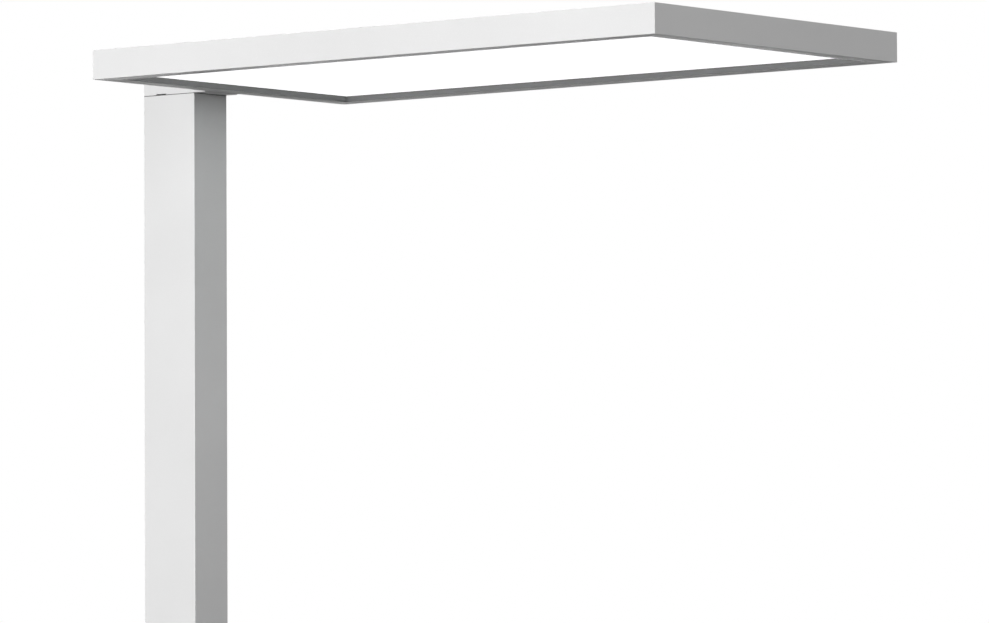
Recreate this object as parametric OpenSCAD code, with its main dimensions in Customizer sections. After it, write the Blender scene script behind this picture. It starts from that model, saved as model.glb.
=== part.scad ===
// Office floor lamp: a slim rectangular light head, carried at the middle of one short end by a
// hollow arm on an extruded column that stands on a flat base plate. Millimetres, +Z up.
// Sizes are worked out from the column's axis; the whole lamp is then centred on its base box.

/* [Overall] */
// Height of the whole lamp
total_h = 1950; // [1700:10:2100]

/* [Head] */
// Length of the head, away from the column
head_l = 640; // [560:5:720]
// Width of the head
head_s = 350; // [300:2:380]
// Height of the head's frame
head_h = 26.5; // [25.5:0.5:34]
// Width of the border round the light panel
border_w = 19; // [17:0.5:24]
// How far the light panel lies above the underside of the frame
recess = 5.5; // [5:0.25:8]
// Thickness of a rail's outer wall
rail_wall = 2; // [1.5:0.1:2.5]
// Thickness of the walls of a rail's lower chamber
chamber_wall = 1.6; // [1.2:0.1:2]
// Thickness of a rail's upper lip
lip_t = 1.5; // [1.2:0.1:2]
// Reach of a rail's upper lip, from the outer wall
lip_reach = 13; // [12:0.5:16]
// Length of a corner key's legs, from the outside of the corner
key_leg = 45; // [38:1:60]
// Distance of a key's screws from the outside of the corner
key_screw_at = 33; // [28:1:36]

/* [Light panel] */
// Gap between the outside of the frame and the edge of the panels
panel_inset = 5; // [4.7:0.1:6]
// Thickness of the diffuser
diffuser_t = 2; // [1.5:0.25:3]
// Thickness of the light guide
guide_t = 3; // [2.5:0.25:4]
// Thickness of the reflector
reflector_t = 0.5; // [0.3:0.1:1]
// Thickness of an LED strip's board
strip_t = 1.6; // [1:0.1:1.7]
// Height of an LED strip's board
strip_h = 5; // [4:0.25:5.5]
// Distance between an LED strip's ends and the outside of the head
strip_end = 22; // [20:1:40]
// Distance from one LED to the next
led_pitch = 16; // [12:1:30]
// Length, height and thickness of one LED
led_size = [3, 2.6, 0.8];

/* [Top of the head] */
// Thickness of the gear tray's sheet
tray_t = 1; // [0.8:0.1:1.2]
// Distance between the gear tray and the outside of the frame
tray_inset = 13; // [12.8:0.1:13.4]
// Thickness of the top cover
cover_t = 1.5; // [1.2:0.1:2]
// Length of a window in the top cover
window_l = 480; // [380:5:500]
// Width of a window in the top cover
window_w = 92; // [70:1:100]
// Corner radius of a window
window_r = 6; // [3:0.5:12]
// Width of the bar between the two windows
window_bar = 44; // [36:1:60]
// Thickness of an uplight lens
lens_t = 2; // [1.5:0.1:2.5]
// How far a lens reaches past its window
lens_lap = 7; // [5:0.5:9]
// Length of an uplight board
board_l = 440; // [340:5:460]
// Width of an uplight board
board_w = 40; // [30:1:50]
// Distance from one LED of an uplight board to the next
uplight_pitch = 20; // [15:1:40]
// Screws of the top cover along one long side
cover_screws_long = 4; // [3:1:6]
// Distance of the short sides' cover screws from the middle
cover_screw_y = 95; // [85:1:110]

/* [Column] */
// Depth of the column, in line with the head
column_l = 62; // [57:1:70]
// Width of the column, across the head
column_s = 45; // [45:1:60]
// Wall of the column
column_wall = 2.5; // [2:0.1:3]
// Gap between the column and the head
head_gap = 13.5; // [8:0.5:25]
// Outer radius of a screw port in the column
port_r = 5.5; // [5:0.1:5.8]
// Depth of the grooves that hold the driver's carrier
groove_d = 3; // [2:0.25:3.5]

/* [Arm] */
// Wall of the arm
arm_wall = 3; // [2.5:0.1:3.2]
// Floor of the arm, on the column
arm_floor = 4; // [3:0.25:5]
// End wall of the arm, at the head
arm_end_wall = 5; // [4:0.25:6]
// Thickness of the arm's cover
arm_cover_t = 2; // [1.5:0.1:2.5]
// How far the arm's underside lies below the head's
arm_drop = 0.7; // [0:0.1:2]
// Height of the shadow groove between the column and the arm
seam_h = 0.5; // [0.3:0.1:1]
// Depth of the shadow groove
seam_d = 0.8; // [0.4:0.1:1.2]
// Length of the slot in the seam
slot_l = 12; // [8:0.5:16]
// Height of the slot in the seam
slot_h = 1.5; // [1:0.1:2.5]
// Distance of the slot from the back of the column
slot_at = 15; // [10:0.5:20]

/* [Head bracket] */
// Width of the bracket inside the head
bracket_s = 120; // [80:2:150]
// Thickness of the bracket
bracket_t = 10; // [8:0.5:10.5]
// Distance of the head screws from the middle
head_screw_y = 12; // [10:0.5:13]

/* [Base] */
// Length of the base plate
base_l = 450; // [400:5:520]
// Width of the base plate
base_s = 300; // [260:5:340]
// Thickness of the base plate
base_t = 12; // [8:0.5:16]
// Corner radius of the base plate
base_r = 6; // [4:0.5:20]
// Chamfer along the top edge of the base plate
base_chamfer = 1.5; // [0.5:0.25:3]
// Distance of the plate's back edge from the column's axis
base_back = 75; // [60:5:110]
// Radius of a base pad
pad_r = 15; // [10:0.5:20]
// Height of a base pad
pad_h = 4; // [3:0.5:6]
// Depth of the recess that holds a base pad
pad_recess = 2; // [1:0.25:2.5]
// Distance of the pads from the edges of the plate
pad_edge = 28; // [24:1:40]

/* [Driver] */
// Height of the driver's carrier
carrier_h = 446; // [420:2:600]
// Thickness of the carrier
carrier_t = 1.5; // [1:0.1:2]
// Place of the carrier behind the column's axis
carrier_back = 8; // [7:0.5:10]
// Length of the driver's case
driver_l = 280; // [230:5:300]
// Width of the driver's case
driver_w = 30; // [24:0.5:30]
// Height of the driver's case
driver_h = 20; // [16:0.5:21]
// Height of the driver's lower end above the base plate
driver_at = 130; // [110:1:150]

/* [Controls] */
// Height of the control panel's middle above the floor
control_z = 1080; // [900:10:1200]
// Height of the control panel
bezel_h = 92; // [90:1:110]
// Width of the control panel
bezel_w = 28; // [26:0.5:32]
// Thickness of the bezel's flange
bezel_t = 1.2; // [0.8:0.1:2]
// Height of the cut-out behind the bezel
cutout_h = 84; // [80:1:88]
// Width of the cut-out behind the bezel
cutout_w = 20; // [19.5:0.1:20.4]
// Radius of a button
button_r = 7; // [6:0.25:7.2]
// Travel of a button
button_travel = 1.2; // [0.6:0.1:1.4]
// Distance of the buttons from the panel's middle
button_z = 14; // [10:0.5:16]

/* [Leads] */
// Radius of the lead to the head
lead_r = 2.5; // [1.5:0.1:3]
// Bend radius of the lead to the head, at its middle
lead_bend = 12; // [10:0.5:12.5]
// Radius of the lead to the switch board
switch_lead_r = 1.2; // [0.8:0.1:1.6]
// Radius of the leads inside the head
tray_lead_r = 0.8; // [0.5:0.1:1]
// Bend radius of the leads inside the head, at their middle
tray_lead_bend = 8; // [4:0.5:12]
// Height of the mains gland above the floor
gland_z = 70; // [50:1:100]
// Radius of the gland's thread
thread_r = 6; // [5.5:0.25:6.5]
// Width across the flats of the gland's lock nut
gland_nut_w = 15; // [14:0.5:16]
// Length of the gland's seal
seal_l = 8; // [6:0.5:10]
// Radius of the cord's way through the gland's seal
gland_bore_r = 3.1; // [2.5:0.1:3.3]

/* [Fits] */
// Clearance between a screw and its hole
screw_fit = 0.05; // [0.03:0.01:0.1]
// Clearance round a piece that is laid or slid into place
slide_fit = 0.15; // [0.1:0.05:0.2]
// Clearance round a button
button_fit = 0.3; // [0.3:0.05:0.5]

/* [Hidden] */
$fn = 48;
// Overlap that lets a cut pass a face
cut = 1;

// Screws: [shank radius, head radius, head height, key width across flats]
screw_m3 = [1.5, 3, 1.5, 2];
screw_m5 = [2.5, 4.25, 5, 4];
screw_m6 = [3, 5, 6, 5];
screw_m6_flat = [3, 6, 3.2, 4];

// Heights of the lamp's levels
plate_z = pad_h - pad_recess;
column_z = plate_z + base_t;
head_z = total_h - head_h;
arm_z = head_z - arm_drop;
column_top = arm_z - seam_h;

// Head: places along the column's depth, and heights inside it
head_x0 = column_l / 2 + head_gap;
head_x1 = head_x0 + head_l;
head_mid = head_x0 + head_l / 2;
lip_z = head_z + head_h - cover_t - lip_t;
diffuser_z = head_z + recess;
guide_z = diffuser_z + diffuser_t;
reflector_z = guide_z + guide_t;
tray_z = reflector_z + reflector_t;
tray_top = tray_z + tray_t;
lead_z = (tray_top + lip_z) / 2;
lip_screw_at = rail_wall + 4;
window_y = (window_bar + window_w) / 2;
lens_z = head_z + head_h - cover_t - lens_t;

// The whole lamp is centred between the plate's back edge and the tip of the head
lamp_mid = (head_x1 - base_back) / 2;

// Column: inner half sizes and the centres of the screw ports
column_in_l = column_l / 2 - column_wall;
column_in_s = column_s / 2 - column_wall;
port_x = column_in_l - port_r - 0.5;
port_y = column_in_s - port_r - 0.5;
port_bore_r = screw_m6[0] + screw_fit;
rib_t = 1.5;

// Base: the pads' places along the plate
pad_places = [for (x = [pad_edge, base_l / 2, base_l - pad_edge], side = [-1, 1])
    [x - base_back, side * (base_s / 2 - pad_edge)]];

// Driver: its back face stands on the carrier
carrier_x = -carrier_back + carrier_t / 2;
driver_z = column_z + driver_at;
tab_l = 12;
tab_t = 2;
lead_x = carrier_x + driver_h / 2;

// Controls: depths from the column's front face inwards
panel_x = column_l / 2;
plug_x = panel_x - column_wall - 2;
collar_t = 1.4;
collar_r = button_r + 1.2;
button_gap = 0.2;
post_l = 8;
post_r = 2.5;
post_z = cutout_h / 2 - 5;
board_x = plug_x - post_l;
board_t = 1.6;
board_half_w = 8;
switch_body = [3.8, 6.2];
pin_r = 1.6;
button_proud = 1.8;
switch_lead_x = carrier_x + driver_h - switch_lead_r - 0.1;
plug_depth = board_x - board_t - switch_lead_x + switch_lead_r + 0.8;

// Arm: the cavity between its walls, and the seat of its cover
arm_x0 = -column_l / 2;
arm_x1 = head_x0;
arm_seat = arm_wall / 2;
arm_boss_x = 4;
arm_boss_r = 3.5;
arm_boss_y = column_s / 2 - arm_wall - 2.5;
wire_hole_r = 8;
grommet_r = lead_r + 1.8;
grommet_lip_r = grommet_r + 1.2;
grommet_lip = 1.2;

// Gland: thread, seal and cap, outwards from the column's back face
gland_flange = 3;
gland_inside = column_wall + 6;
nut_t = 4;
seal_seat = gland_flange + 1;
seal_r = thread_r - 1.2;
cap_start = gland_flange + 0.5;
cap_r = thread_r + 2;
cap_end_t = 2;
cap_l = seal_seat + seal_l + cap_end_t - cap_start;

module placed() {
    translate([-lamp_mid, 0, 0]) children();
}

// A box from its lowest corner to its highest
module block(low, high) {
    translate(low) cube(high - low);
}

// Centred rectangle with round corners
module round_rect(l, w, r) {
    union() {
        square([l - 2 * r, w], center = true);
        square([l, w - 2 * r], center = true);
        for (x = [-1, 1], y = [-1, 1])
            translate([x * (l / 2 - r), y * (w / 2 - r)]) circle(r);
    }
}

// Socket-head screw: the head stands above z = 0, the shank hangs below it
module cap_screw(size, length) {
    difference() {
        union() {
            translate([0, 0, -length]) cylinder(length, r = size[0]);
            cylinder(size[2], r = size[1]);
        }
        translate([0, 0, size[2] / 2]) cylinder(size[2], r = size[3] / sqrt(3), $fn = 6);
    }
}

// Countersunk screw: its flat top lies at z = 0
module flat_screw(size, length) {
    difference() {
        union() {
            translate([0, 0, -length]) cylinder(length, r = size[0]);
            translate([0, 0, -size[2]]) cylinder(size[2], r1 = size[0], r2 = size[1]);
        }
        translate([0, 0, -size[2] * 0.7]) cylinder(size[2], r = size[3] / sqrt(3), $fn = 6);
    }
}

// The hole of a countersunk screw, with its cone open at z = 0
module flat_screw_hole(size, length) {
    translate([0, 0, -length]) cylinder(length + cut, r = size[0] + screw_fit);
    translate([0, 0, -size[2]]) cylinder(size[2], r1 = size[0] + screw_fit, r2 = size[1] + screw_fit);
    cylinder(cut, r = size[1] + screw_fit);
}

// ---- Base ----

// A plate with round corners and a chamfer along its top edge
module chamfered_plate(l, w, r, t, chamfer) {
    profile_l = [[l / 2, 0], [l / 2, t - chamfer], [l / 2 - chamfer, t]];
    profile_w = [[w / 2, 0], [w / 2, t - chamfer], [w / 2 - chamfer, t]];
    rotate([90, 0, 90]) linear_extrude(l - 2 * r, center = true)
        polygon(concat(profile_w, [for (i = [2:-1:0]) [-profile_w[i][0], profile_w[i][1]]]));
    rotate([90, 0, 0]) linear_extrude(w - 2 * r, center = true)
        polygon(concat(profile_l, [for (i = [2:-1:0]) [-profile_l[i][0], profile_l[i][1]]]));
    for (x = [-1, 1], y = [-1, 1]) translate([x * (l / 2 - r), y * (w / 2 - r), 0]) {
        cylinder(t - chamfer, r = r);
        translate([0, 0, t - chamfer]) cylinder(chamfer, r1 = r, r2 = r - chamfer);
    }
}

module base_plate() color("silver") placed()
difference() {
    translate([base_l / 2 - base_back, 0, plate_z])
        chamfered_plate(base_l, base_s, base_r, base_t, base_chamfer);
    for (place = pad_places)
        translate([place[0], place[1], plate_z - cut])
            cylinder(pad_recess + cut, r = pad_r + slide_fit);
    port_places() translate([0, 0, plate_z]) mirror([0, 0, 1])
        flat_screw_hole(screw_m6_flat, base_t + cut);
}

module base_pads() color("dimgray") placed()
for (place = pad_places)
    translate([place[0], place[1], 0]) {
        cylinder(1, r1 = pad_r - 1, r2 = pad_r);
        translate([0, 0, 1]) cylinder(pad_h - 1, r = pad_r);
    }

module foot_screws() color("darkgray") placed()
port_places() translate([0, 0, plate_z]) mirror([0, 0, 1])
    flat_screw(screw_m6_flat, base_t + 24);

// ---- Column ----

module port_places() {
    for (x = [-1, 1], y = [-1, 1]) translate([x * port_x, y * port_y, 0]) children();
}

// One screw port: a round boss with its corner filled up to the walls
module port_boss() {
    for (x = [-1, 1], y = [-1, 1])
        mirror([x < 0 ? 1 : 0, 0]) mirror([0, y < 0 ? 1 : 0]) {
            translate([port_x, port_y]) circle(port_r);
            translate([port_x, port_y])
                square([column_l / 2 - column_wall / 2 - port_x,
                        column_s / 2 - column_wall / 2 - port_y]);
        }
}

// Two ribs on each side wall hold the edges of the carrier
module carrier_ribs() {
    for (y = [-1, 1], x = [-1, 1])
        translate([-carrier_back + x * (carrier_t / 2 + slide_fit + rib_t / 2) - rib_t / 2,
                   y > 0 ? column_in_s - groove_d : -column_in_s - column_wall / 2])
            square([rib_t, groove_d + column_wall / 2]);
}

module column_section() {
    difference() {
        union() {
            difference() {
                square([column_l, column_s], center = true);
                square([2 * column_in_l, 2 * column_in_s], center = true);
            }
            port_boss();
            carrier_ribs();
        }
        for (x = [-1, 1], y = [-1, 1])
            translate([x * port_x, y * port_y]) circle(port_bore_r);
    }
}

module column_tube() color("silver") placed()
difference() {
    translate([0, 0, column_z]) linear_extrude(column_top - column_z) column_section();
    block([panel_x - column_wall - 0.2, -cutout_w / 2, control_z - cutout_h / 2],
          [panel_x + cut, cutout_w / 2, control_z + cutout_h / 2]);
    gland_axis() translate([0, 0, -column_wall - cut])
        cylinder(column_wall + 2 * cut, r = thread_r + screw_fit);
}

// ---- Mains gland, on an axis that points out of the column's back ----

module gland_axis() {
    translate([-column_l / 2, 0, gland_z]) rotate([0, -90, 0]) children();
}

module hex_prism(across, height) {
    cylinder(height, r = across / 2 / cos(30), $fn = 6);
}

module gland_body() color("dimgray") placed()
gland_axis() difference() {
    union() {
        hex_prism(gland_nut_w + 2, gland_flange);
        translate([0, 0, -gland_inside]) cylinder(gland_inside, r = thread_r);
        cylinder(seal_seat + seal_l - 1.5, r = thread_r);
    }
    translate([0, 0, -gland_inside - cut])
        cylinder(gland_inside + seal_seat + 2 * cut, r = gland_bore_r + 0.6);
    translate([0, 0, seal_seat]) cylinder(seal_l, r = seal_r + screw_fit);
}

module gland_nut() color("dimgray") placed()
gland_axis() translate([0, 0, -column_wall - nut_t]) difference() {
    hex_prism(gland_nut_w, nut_t);
    translate([0, 0, -cut]) cylinder(nut_t + 2 * cut, r = thread_r + screw_fit);
}

module gland_seal() color("black") placed()
gland_axis() translate([0, 0, seal_seat]) difference() {
    cylinder(seal_l, r = seal_r);
    translate([0, 0, -cut]) cylinder(seal_l + 2 * cut, r = gland_bore_r);
}

module gland_cap() color("dimgray") placed()
gland_axis() translate([0, 0, cap_start]) difference() {
    union() {
        cylinder(cap_l - 3, r = cap_r);
        hex_prism(gland_nut_w + 1, cap_l - 6);
        translate([0, 0, cap_l - 3]) cylinder(3, r1 = cap_r, r2 = cap_r - 2.5);
    }
    translate([0, 0, -cut]) cylinder(cap_l - cap_end_t + cut, r = thread_r + screw_fit);
    translate([0, 0, -cut]) cylinder(cap_l + 2 * cut, r = gland_bore_r + 0.7);
}

// ---- Driver ----

module driver_screw_places() {
    for (y = [-1, 1], z = [driver_z - tab_l / 2, driver_z + driver_l + tab_l / 2])
        translate([carrier_x + tab_t, y * (driver_w / 2 - 5), z]) rotate([0, 90, 0]) children();
}

module driver_carrier() color("lightgray") placed()
difference() {
    block([-carrier_back - carrier_t / 2, -column_in_s + slide_fit, column_z],
          [carrier_x, column_in_s - slide_fit, column_z + carrier_h]);
    translate([-carrier_back - carrier_t, 0, gland_z]) rotate([0, 90, 0])
        cylinder(2 * carrier_t, r = thread_r);
    driver_screw_places() translate([0, 0, -tab_t - 2 * carrier_t])
        cylinder(3 * carrier_t + tab_t, r = screw_m3[0] + screw_fit);
}

module led_driver() color("whitesmoke") placed()
difference() {
    union() {
        block([carrier_x, -driver_w / 2, driver_z],
              [carrier_x + driver_h, driver_w / 2, driver_z + driver_l]);
        block([carrier_x, -driver_w / 2, driver_z - tab_l],
              [carrier_x + tab_t, driver_w / 2, driver_z + driver_l + tab_l]);
    }
    driver_screw_places() translate([0, 0, -tab_t - cut])
        cylinder(tab_t + 2 * cut, r = screw_m3[0] + screw_fit);
    for (y = [-1, 1]) translate([carrier_x + driver_h, y * driver_w / 2, driver_z + driver_l / 2])
        rotate([0, 0, 45]) cube([2, 2, driver_l - 40], center = true);
}

module driver_screws() color("darkgray") placed()
driver_screw_places() cap_screw([screw_m3[0], 2.75, 2, 2], tab_t + carrier_t + 1);

// ---- Controls ----

module control_bezel() color("dimgray") placed()
difference() {
    union() {
        translate([panel_x, 0, control_z]) rotate([90, 0, 90])
            linear_extrude(bezel_t) round_rect(bezel_w, bezel_h, 4);
        block([plug_x, -cutout_w / 2 + slide_fit, control_z - cutout_h / 2 + slide_fit],
              [panel_x, cutout_w / 2 - slide_fit, control_z + cutout_h / 2 - slide_fit]);
        for (z = [-1, 1]) translate([board_x, 0, control_z + z * post_z]) rotate([0, 90, 0])
            cylinder(post_l + 0.5, r = post_r);
    }
    for (z = [-1, 1]) translate([plug_x - cut, 0, control_z + z * button_z]) rotate([0, 90, 0])
        cylinder(column_wall + bezel_t + 2 + 2 * cut, r = button_r + button_fit);
    for (z = [-1, 1]) translate([board_x - cut, 0, control_z + z * post_z]) rotate([0, 90, 0])
        cylinder(post_l, r = 1.25 + screw_fit);
}

// A button, along an axis that points out of the column's front, from the panel's face
module push_button() {
    front = bezel_t + button_proud;
    back = plug_x - panel_x - button_gap;
    difference() {
        union() {
            translate([0, 0, back - cut]) cylinder(front - back + cut - 0.8, r = button_r);
            translate([0, 0, front - 0.8]) cylinder(0.8, r1 = button_r, r2 = button_r - 0.8);
            translate([0, 0, back - collar_t]) cylinder(collar_t, r = collar_r);
            translate([0, 0, board_x - panel_x + button_travel + 0.4])
                cylinder(back - board_x + panel_x - button_travel - 0.4, r = pin_r);
        }
        translate([0, 0, front + 29.2]) sphere(29.8, $fn = 96);
    }
}

module downlight_button() color("gainsboro") placed()
translate([panel_x, 0, control_z - button_z]) rotate([0, 90, 0]) push_button();

module uplight_button() color("gainsboro") placed()
translate([panel_x, 0, control_z + button_z]) rotate([0, 90, 0]) push_button();

module switch_board() color("darkgreen") placed()
difference() {
    union() {
        block([board_x - board_t, -board_half_w, control_z - cutout_h / 2 + 1],
              [board_x, board_half_w, control_z + cutout_h / 2 - 1]);
        block([board_x - board_t - plug_depth, -5, control_z - cutout_h / 2 + 10],
              [board_x - board_t, 5, control_z - cutout_h / 2 + 18]);
    }
    for (z = [-1, 1]) translate([board_x - board_t - cut, 0, control_z + z * post_z])
        rotate([0, 90, 0]) cylinder(board_t + 2 * cut, r = 1.25 + screw_fit);
}

module tact_switches() color("black") placed()
for (z = [-1, 1]) translate([board_x, 0, control_z + z * button_z]) difference() {
    block([0, -switch_body[1] / 2, -switch_body[1] / 2],
          [switch_body[0], switch_body[1] / 2, switch_body[1] / 2]);
    translate([0.2, 0, 0]) rotate([0, 90, 0]) cylinder(switch_body[0], r = pin_r + button_fit);
}

module board_screws() color("darkgray") placed()
for (z = [-1, 1]) translate([board_x - board_t, 0, control_z + z * post_z]) rotate([0, -90, 0])
    cap_screw([1.25, 2.25, 1.6, 1.5], board_t + 5);

module switch_lead() color("white") placed()
translate([switch_lead_x, 0, driver_z + driver_l])
    cylinder(control_z - cutout_h / 2 + 10 - driver_z - driver_l, r = switch_lead_r);

// ---- Arm ----

module arm_cavity() {
    block([arm_x0 + arm_wall, -column_s / 2 + arm_wall, arm_z + arm_floor],
          [arm_x1 - arm_end_wall, column_s / 2 - arm_wall, total_h + cut]);
    block([arm_x0 + arm_seat, -column_s / 2 + arm_seat, total_h - arm_cover_t],
          [arm_x1 - arm_end_wall + arm_seat, column_s / 2 - arm_seat, total_h + cut]);
}

module arm_boss_places() {
    for (y = [-1, 1]) translate([arm_boss_x, y * arm_boss_y, total_h]) children();
}

module head_screw_places() {
    for (y = [-1, 1])
        translate([arm_x1 - arm_end_wall, y * head_screw_y, lead_z]) rotate([0, -90, 0]) children();
}

module arm_block() color("silver") placed()
difference() {
    union() {
        difference() {
            block([arm_x0, -column_s / 2, arm_z], [arm_x1, column_s / 2, total_h]);
            arm_cavity();
        }
        arm_foot();
        intersection() {
            arm_boss_places() translate([0, 0, -head_h])
                cylinder(head_h - arm_cover_t, r = arm_boss_r);
            block([arm_x0, -column_s / 2, arm_z], [arm_x1, column_s / 2, total_h]);
        }
    }
    block([arm_x0 + slot_at, -column_s / 2 - cut, column_top - cut],
          [arm_x0 + slot_at + slot_l, -column_s / 2 + arm_wall, column_top + slot_h]);
    port_places() translate([0, 0, column_top - cut])
        cylinder(arm_floor + seam_h + 2 * cut, r = port_bore_r);
    translate([lead_x, 0, column_top - cut])
        cylinder(arm_floor + seam_h + 2 * cut, r = wire_hole_r);
    head_screw_places() translate([0, 0, -arm_end_wall - cut])
        cylinder(arm_end_wall + 2 * cut, r = screw_m5[0] + screw_fit);
    translate([arm_x1 - arm_end_wall - cut, 0, lead_z]) rotate([0, 90, 0])
        cylinder(arm_end_wall + 2 * cut, r = grommet_r);
    arm_boss_places() translate([0, 0, -arm_cover_t - 8])
        cylinder(8 + cut, r = screw_m3[0] + screw_fit);
}

// The arm's foot stands on the column, set back all round so that a shadow groove stays open
module arm_foot() {
    block([arm_x0 + seam_d, -column_s / 2 + seam_d, column_top],
          [column_l / 2 - seam_d, column_s / 2 - seam_d, arm_z + cut]);
}

module arm_cover() color("silver") placed()
difference() {
    block([arm_x0 + arm_seat + slide_fit, -column_s / 2 + arm_seat + slide_fit,
           total_h - arm_cover_t],
          [arm_x1 - arm_end_wall + arm_seat - slide_fit, column_s / 2 - arm_seat - slide_fit,
           total_h]);
    arm_boss_places() flat_screw_hole(screw_m3, arm_cover_t + cut);
}

module arm_cover_screws() color("darkgray") placed()
arm_boss_places() flat_screw(screw_m3, arm_cover_t + 7);

module column_screws() color("darkgray") placed()
port_places() translate([0, 0, arm_z + arm_floor]) cap_screw(screw_m6, arm_floor + seam_h + 24);

module head_screws() color("darkgray") placed()
head_screw_places() cap_screw(screw_m5, arm_end_wall + rail_wall + bracket_t - 1);

module lead_grommet() color("black") placed()
translate([arm_x1 - arm_end_wall, 0, lead_z]) rotate([0, 90, 0]) difference() {
    union() {
        cylinder(arm_end_wall, r = grommet_r - screw_fit);
        translate([0, 0, -grommet_lip]) cylinder(grommet_lip, r = grommet_lip_r);
    }
    translate([0, 0, -grommet_lip - cut]) cylinder(arm_end_wall + grommet_lip + 2 * cut,
                                                   r = lead_r + screw_fit);
}

// The lead climbs the column, bends in the arm and ends at the terminal block
module head_lead() color("white") placed() {
    bend_z = lead_z - lead_bend;
    translate([lead_x, 0, driver_z + driver_l]) cylinder(bend_z - driver_z - driver_l, r = lead_r);
    translate([lead_x + lead_bend, 0, bend_z]) rotate([90, 0, 180]) rotate_extrude(angle = -90)
        translate([lead_bend, 0]) circle(lead_r);
    translate([lead_x + lead_bend, 0, lead_z]) rotate([0, 90, 0])
        cylinder(terminal_x - lead_x - lead_bend, r = lead_r);
}

// ---- Head ----

terminal_x = head_x0 + tray_inset + 22;
terminal_l = 20;
terminal_s = 24;
strip_z = guide_z + guide_t / 2;
strip_top = strip_z + strip_h / 2;
strip_y = head_s / 2 - rail_wall - strip_t / 2;
strip_lead_x = terminal_x + 3;
uplight_lead_x = terminal_x + 8;
uplight_lead_end = head_mid - board_l / 2;
tray_hole_r = tray_lead_r + 0.4;
tray_lead_z = max(tray_top, strip_top) + tray_hole_r + 0.1;

// A rail's section: across from its outer face, and up from its underside
module rail_section() {
    square([rail_wall, head_h]);
    square([border_w, chamber_wall]);
    translate([0, recess - chamber_wall]) square([border_w, chamber_wall]);
    translate([border_w - chamber_wall, 0]) square([chamber_wall, recess]);
    translate([0, lip_z - head_z]) square([rail_wall + lip_reach, lip_t]);
}

// A rail along +X with its outer face at y = 0 and both ends mitred
module rail(length) {
    reach = max(border_w, rail_wall + lip_reach) + cut;
    intersection() {
        rotate([90, 0, 90]) linear_extrude(length) rail_section();
        linear_extrude(head_h)
            polygon([[0, 0], [length, 0], [length - reach, reach], [reach, reach]]);
    }
}

module rail_on_front() {
    translate([head_x0, -head_s / 2, head_z]) children();
}

module rail_on_back() {
    translate([head_x0, head_s / 2, head_z]) mirror([0, 1, 0]) children();
}

module rail_on_tip() {
    translate([head_x1, -head_s / 2, head_z]) rotate([0, 0, 90]) children();
}

module rail_on_mast() {
    translate([head_x0, head_s / 2, head_z]) rotate([0, 0, -90]) children();
}

// The holes that every rail has for its key screws, near both ends
module key_screw_holes(length) {
    for (x = [key_screw_at, length - key_screw_at])
        translate([x, (rail_wall + border_w - chamber_wall) / 2, chamber_wall])
            cylinder(recess, r = 2 + screw_fit);
}

// Places of the cover screws along a rail, on its lip
function long_screw_places() = [for (i = [0:cover_screws_long - 1])
    head_l * (i + 0.5) / cover_screws_long];
function short_screw_places() = [head_s / 2 - cover_screw_y, head_s / 2 + cover_screw_y];

module lip_places(places) {
    for (x = places) translate([x, lip_screw_at, head_h]) children();
}

module lip_holes(places) {
    lip_places(places) translate([0, 0, -cover_t - lip_t - cut])
        cylinder(cover_t + lip_t + cut, r = screw_m3[0] + screw_fit);
}

module drilled_rail(length, places) {
    difference() {
        rail(length);
        key_screw_holes(length);
        lip_holes(places);
    }
}

module head_front_rail() color("silver") placed()
rail_on_front() drilled_rail(head_l, long_screw_places());

module head_back_rail() color("silver") placed()
rail_on_back() drilled_rail(head_l, long_screw_places());

module head_tip_rail() color("silver") placed()
rail_on_tip() drilled_rail(head_s, short_screw_places());

module head_mast_rail() color("silver") placed()
difference() {
    rail_on_mast() drilled_rail(head_s, short_screw_places());
    head_screw_places() translate([0, 0, -arm_end_wall - rail_wall - cut])
        cylinder(rail_wall + cut + 0.5, r = screw_m5[0] + screw_fit);
    translate([head_x0 - cut, 0, lead_z]) rotate([0, 90, 0])
        cylinder(rail_wall + 2 * cut, r = lead_r + 1);
}

module corner_places() {
    for (x = [0, 1], y = [0, 1])
        translate([x == 0 ? head_x0 : head_x1, y == 0 ? -head_s / 2 : head_s / 2, head_z])
            mirror([x, 0, 0]) mirror([0, y, 0]) children();
}

module key_screw_spots() {
    across = (rail_wall + border_w - chamber_wall) / 2;
    corner_places() for (spot = [[key_screw_at, across], [across, key_screw_at]])
        translate([spot[0], spot[1], chamber_wall]) children();
}

module corner_keys() color("darkgray") placed()
difference() {
    corner_places() translate([0, 0, chamber_wall + slide_fit])
        linear_extrude(recess - 2 * chamber_wall - 2 * slide_fit) {
            inner = rail_wall + slide_fit;
            outer = border_w - chamber_wall - slide_fit;
            translate([inner, inner]) square([key_leg - inner, outer - inner]);
            translate([inner, inner]) square([outer - inner, key_leg - inner]);
        }
    key_screw_spots() translate([0, 0, -cut]) cylinder(recess, r = 2 + screw_fit);
}

module corner_key_screws() color("darkgray") placed()
key_screw_spots() difference() {
    cylinder(recess - chamber_wall - 0.3, r = 2);
    translate([0, 0, recess - chamber_wall - 1.8]) cylinder(2, r = 2 / sqrt(3), $fn = 6);
}

// A flat panel inside the frame, at its inset from the outside
module panel(z, thickness, inset) {
    block([head_x0 + inset, -head_s / 2 + inset, z],
          [head_x1 - inset, head_s / 2 - inset, z + thickness]);
}

module diffuser_panel() color("white") placed()
panel(diffuser_z, diffuser_t, panel_inset);

module light_guide() color("azure") placed()
panel(guide_z, guide_t, panel_inset);

module reflector_sheet() color("snow") placed()
panel(reflector_z, reflector_t, panel_inset);

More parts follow.
